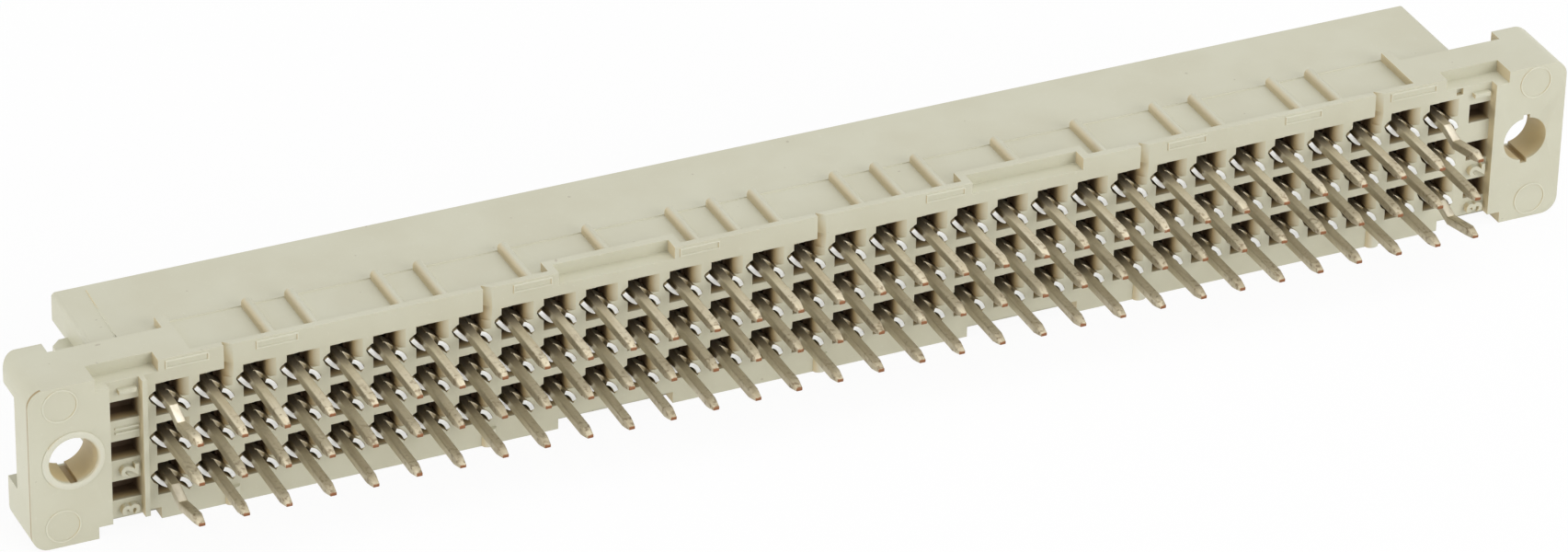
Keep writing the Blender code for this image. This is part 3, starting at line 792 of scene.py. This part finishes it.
def insideTints(graph, x, depth, z):
    # Four shares of painted shade over the surface: of warm brown in the mouth of each opening and on steps
    # that face -X, of a dark colour further inside, of warm brown inside the holes, and of brown in the key
    # slots beside a hole
    nearRear = depth < flange["plateFront"] - near["inside"]
    between = abs(z - gridOrigin.z) < tint["rowReach"] * millimetre
    cavities = (abs(x) < tint["cavityReach"] * millimetre) * between
    pockets = (abs(x) < tint["pocketReach"] * millimetre) * between * nearRear
    # The painted shade starts further in at the lead-ins, right of each cavity, so they stay pale for longer
    start = columnX(1) + cell["left"]
    across = (x * (1 / millimetre) - start) % pitch + cell["left"]
    inner = depth - tint["leadIn"] * (1 - (across < tint["leadInSide"]))
    # Painted shade: warm brown in the mouth of each opening and pocket
    tanShade = cavities * graph.ramp(inner, *tint["mouth"]) * graph.ramp(depth, *tint["mouthShadeEnd"], 1.0, 0.0)
    tanShade = tanShade.larger(pockets * graph.ramp(depth, *tint["pocket"]))
    # Painted shade: a dark colour further inside the cavities and pockets
    deepShade = cavities * graph.ramp(inner, *tint["deepShade"]) * graph.ramp(depth, *tint["deepShadeEnd"], 1.0, 0.0)
    deepShade = deepShade.larger(pockets * graph.ramp(depth, *tint["pocketDeepShade"]))
    rightOfCase = 1 - (x < tint["caseSide"] * millimetre)
    recessed = rightOfCase + (1 - rightOfCase) * nearRear * (1 - (x < tint["padSide"] * millimetre))
    # Painted shade: steps that face -X turn warm brown, as if lit only by light bounced off the plastic
    facing = graph.axis(graph.node("ShaderNodeTexCoord", output="Normal"), "X")
    steps = graph.ramp(facing, -0.12, -0.8, last=tintShare["steps"]) * recessed
    fromAxis, fromRise = abs(x) - hole["x"] * millimetre, z - gridOrigin.z - hole["rise"] * millimetre
    inCircle = fromAxis * fromAxis + fromRise * fromRise < (tint["boreReach"] * millimetre) ** 2
    # Painted shade: warm brown inside the holes
    boreShadeShare = nearRear * graph.ramp(depth, *tint["boreShade"]) * inCircle
    # Painted shade: brown in the key slots beside the holes
    pastCircle = 1 - (abs(fromRise) < tint["keyRise"] * millimetre)
    slots = (abs(fromAxis) < tint["keyReach"] * millimetre) * pastCircle * boreShadeShare
    return steps.larger(tanShade), deepShade, boreShadeShare, slots


def plasticMaterial():
    # Warm grey glass-filled plastic: clouds of 4 mm, pale fibres and rare dark grit. It has painted shade,
    # browner inside the openings and on the steps that face -X, as if lit by its own colour, and raised
    # relief has a painted highlight
    material, graph, shader = newMaterial("grey_plastic_detail")
    place = graph.node("ShaderNodeTexCoord", output="Object")
    x, y, z = (graph.axis(place, name) for name in ("X", "Y", "Z"))
    cloud = graph.noise(place, scale=260.0, detail=3.0)
    fibre = graph.noise(place, scale=5200.0, detail=2.0)
    grit = graph.noise(place, scale=2300.0, detail=0.0)
    grain = graph.noise(place, scale=1700.0, detail=4.0)
    tone = graph.mix(graph.ramp(cloud, 0.35, 0.65), plasticLook["pale"], plasticLook["warm"])
    # Painted highlight: raised relief is paler
    tone = graph.mix(graph.attribute("raisedHighlight") * tintShare["paleHighlight"], tone, plasticLook["paleHighlight"])
    tone = graph.mix(graph.ramp(fibre, 0.66, 0.8, last=tintShare["fibre"]), tone, plasticLook["fibre"])
    tone = graph.mix(graph.ramp(grit, 0.86, 0.88, last=tintShare["grit"]), tone, plasticLook["grit"])
    # Painted shade: a brown line along the left end, between two depths, standing for the shadow in a narrow
    # groove
    depth = (y - gridOrigin.y) * (1 / millimetre)
    slitShadeStart, slitShadeStop = tint["slitShade"]
    slitShade = (x < tint["slitShadeSide"] * millimetre) * (depth < slitShadeStop) * (1 - (depth < slitShadeStart))
    tone = graph.mix(slitShade * tintShare["slitShade"], tone, plasticLook["slitShade"])
    tanShade, deepShade, boreShadeShare, slots = insideTints(graph, x, depth, z)
    # Painted shade follows: warm brown in openings, on -X steps and inside the holes, brown in the key
    # slots, dark further in
    tone = graph.mix(tanShade, tone, plasticLook["tan"])
    tone = graph.mix(boreShadeShare, tone, plasticLook["boreShade"])
    tone = graph.mix(slots * tintShare["slots"], tone, plasticLook["slitShade"])
    tone = graph.mix(deepShade, tone, plasticLook["deepShade"])
    normal = graph.bump(grain, distance=0.00004, strength=0.25)
    rough = graph.ramp(cloud, 0.3, 0.7, first=0.42, last=0.52)
    graph.fill(shader, {"Base Color": tone, "Roughness": rough, "Normal": normal})
    return material


# The near white colour for cut ends is a painted highlight; the others are the metal's own colours
metalLook = {
    "tin": (0.480, 0.420, 0.300, 1), "light": (0.640, 0.585, 0.450, 1), "stain": (0.260, 0.200, 0.125, 1),
    "copper": (0.280, 0.130, 0.065, 1), "cut": (0.88, 0.89, 0.88, 1),
}
# Distances from the rear face along the tail, where stains, dullness and bare copper begin and are full,
# and how uneven the copper's border is
wear = {"stain": (2.6, 4.6), "dull": (3.9, 4.8), "bare": (5.2, 5.26), "uneven": 0.16}
# What the painted highlight on cut ends and the stains take from the metallic look, and how much rougher the
# tip is
matt = {"cut": 0.75, "stain": 0.3, "tip": 0.16}


def metalMaterial():
    # Tinned copper alloy, streaked along the tail and stained near the tip, with bare copper on the cut tip.
    # Cut ends, and faintly a kinked tail's slope, get a painted highlight: near white and less metallic
    material, graph, shader = newMaterial("tinned_metal_detail")
    place = graph.node("ShaderNodeTexCoord", output="Object")
    tone, cut = graph.attribute("tone"), graph.attribute("cut")
    streak = graph.noise(place, scale=900.0, detail=4.0, stretch=(3.0, 0.35, 3.0))
    blot = graph.noise(place, scale=3600.0, detail=3.0)
    reach = (gridOrigin.y - graph.axis(place, "Y")) * (1 / millimetre)
    tin = graph.mix(graph.ramp(streak, 0.3, 0.7), metalLook["tin"], metalLook["light"])
    tin = graph.mix(tone * 0.3, tin, metalLook["tin"])
    stained = graph.ramp(blot, 0.52, 0.66) * graph.ramp(reach, *wear["stain"], first=0.15, last=0.85)
    tin = graph.mix(stained, tin, metalLook["stain"])
    bare = graph.ramp(reach + blot * wear["uneven"], *wear["bare"])
    # Painted highlight: the cut ends turn near white
    colour = graph.mix(bare, graph.mix(cut, tin, metalLook["cut"]), metalLook["copper"])
    rough = graph.ramp(streak, 0.3, 0.7, first=0.52, last=0.40)
    rough = rough + graph.ramp(reach, *wear["dull"], last=matt["tip"])
    metallic = (1 - matt["cut"] * cut) * (1 - matt["stain"] * stained)
    normal = graph.bump(streak * 0.5 + blot * 0.5, distance=0.00003, strength=0.5)
    graph.fill(shader, {"Base Color": colour, "Roughness": rough, "Metallic": metallic, "Normal": normal})
    return material


def seenDirectly(graph):
    # 1 for what the camera sees directly, in a reflection or through glass
    camera, glossy, clear = (graph.node("ShaderNodeLightPath", output=name)
                             for name in ("Is Camera Ray", "Is Glossy Ray", "Is Transmission Ray"))
    return (camera + glossy + clear).smaller(1.0)


studio = {
    "floorLow": (-1.5, -1.5, -0.01), "floorHigh": (1.5, 2.5, 0.0), "floorGrey": (0.92, 0.92, 0.92, 1),
    "floorWhite": 0.92, "white": (1, 1, 1, 1), "soft": 0.55, "aim": Vector((0, 0, 0.005)),
}


def floorMaterial():
    # Seen directly the floor is mostly plain white, and the rest of it still takes the object's shadow
    material, graph, shader = newMaterial("studio_floor")
    graph.fill(shader, {"Base Color": studio["floorGrey"], "Roughness": 0.9, "Specular IOR Level": 0.1})
    white = graph.node("ShaderNodeEmission", {"Color": studio["white"], "Strength": 1.0})
    surface = {0: seenDirectly(graph) * studio["floorWhite"], 1: Socket(graph, shader.outputs[0]), 2: white}
    both = graph.node("ShaderNodeMixShader", surface)
    graph.fill(material.node_tree.nodes["Material Output"], {"Surface": both})
    return material


# Building

housing = toScene(housingMesh(), "housing_moulding", smoothDegrees=50)
print("housing faces", len(housing.data.polygons))
contactRows = {row: contactRow(row) for row in rowHeights}
print("contact faces per row", [len(item.data.polygons) for item in contactRows.values()])
markShells = [shellOf(markMesh(str(index + 1), x, z)) for index, z in enumerate(marks["heights"])
              for x in (marks["left"], marks["right"])]
rowMarks = toScene(meshFrom("row_marks", markShells), "row_marks", smoothDegrees=40)
reliefShells = pipShells() + frameShells() + ringShells() + ridgeShells() + mouldShells()
lowRelief = toScene(meshFrom("low_relief", reliefShells), "low_relief", smoothDegrees=40)
# Painted highlight: what stands proud is made paler
raisedHighlight = lowRelief.data.attributes.new("raisedHighlight", "FLOAT", "POINT")
raisedHighlight.data.foreach_set("value", np.ones(len(lowRelief.data.vertices)))
print("mark and relief faces", len(rowMarks.data.polygons), len(lowRelief.data.polygons))

plastic, metal = plasticMaterial(), metalMaterial()
for item in (housing, rowMarks, lowRelief):
    item.data.materials.append(plastic)
    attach(item, "root")
for item in contactRows.values():
    item.data.materials.append(metal)
    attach(item, "root")
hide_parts("housing")
for row, item in contactRows.items():
    nodes = [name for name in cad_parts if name.startswith(f"contact_{row}")]
    if nodes:
        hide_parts(*nodes)
print("materials, slots and replaced nodes done")

# Studio

floor = solid("floor", [box(studio["floorLow"], studio["floorHigh"])])
floor.data.materials.append(floorMaterial())

view = {
    "azimuth": -25.47, "elevation": 30.94, "roll": 1.35, "distance": 422.7, "slide": (-1.68, 0.15),
    "gridShift": (0.593, 0.0, -1.068), "focalPixels": 8175.0, "imageWidth": 1705.0, "sensor": 36.0,
    "clipStart": 0.01, "clipEnd": 20.0,
}
azimuth, elevation, roll = (math.radians(view[key]) for key in ("azimuth", "elevation", "roll"))
# back = (sin a cos e, -cos a cos e, sin e) points from the object to the camera
flat = math.cos(elevation)
back = Vector((math.sin(azimuth) * flat, -math.cos(azimuth) * flat, math.sin(elevation)))
level = Vector((0, 0, 1)).cross(back).normalized()
upright = back.cross(level)
across = math.cos(roll) * level + math.sin(roll) * upright
up = -math.sin(roll) * level + math.cos(roll) * upright
aside, above = view["slide"]
seat = aside * across + above * up + view["distance"] * back - Vector(view["gridShift"])
turn = Matrix((across, up, back)).transposed().to_4x4()
camera = bpy.data.objects.new("camera", bpy.data.cameras.new("camera"))
camera.matrix_world = Matrix.Translation(gridOrigin + seat * millimetre) @ turn
camera.data.sensor_width = view["sensor"]
camera.data.lens = view["sensor"] * view["focalPixels"] / view["imageWidth"]
camera.data.clip_start = view["clipStart"]
camera.data.clip_end = view["clipEnd"]
bpy.context.scene.collection.objects.link(camera)
bpy.context.scene.camera = camera

lamps = {
    "key": {"place": (0.5, -0.8, 0.35), "size": (0.7, 0.5), "power": 3.9},
    "overhead": {"place": (0.1, 0.1, 0.9), "size": (0.9, 0.7), "power": 3.1},
    "left_card": {"place": (-0.8, -0.05, 0.03), "size": (0.4, 0.05), "power": 1.9},
}
for name, lamp in lamps.items():
    light = bpy.data.lights.new(name, "AREA")
    light.shape = "RECTANGLE"
    light.size, light.size_y = lamp["size"]
    light.energy = lamp["power"]
    item = bpy.data.objects.new(name, light)
    item.location = lamp["place"]
    item.rotation_euler = (studio["aim"] - item.location).to_track_quat("-Z", "Y").to_euler()
    bpy.context.scene.collection.objects.link(item)

# The world is soft light, and white where it is seen directly
world = bpy.data.worlds.new("studio")
world.use_nodes = True
worldGraph = Graph(world.node_tree)
strength = studio["soft"] + (1 - studio["soft"]) * seenDirectly(worldGraph)
worldGraph.fill(world.node_tree.nodes["Background"], {"Color": studio["white"], "Strength": strength})
bpy.context.scene.world = world
bpy.context.scene.view_settings.view_transform = "Standard"
print("floor, camera, lamps and world done")
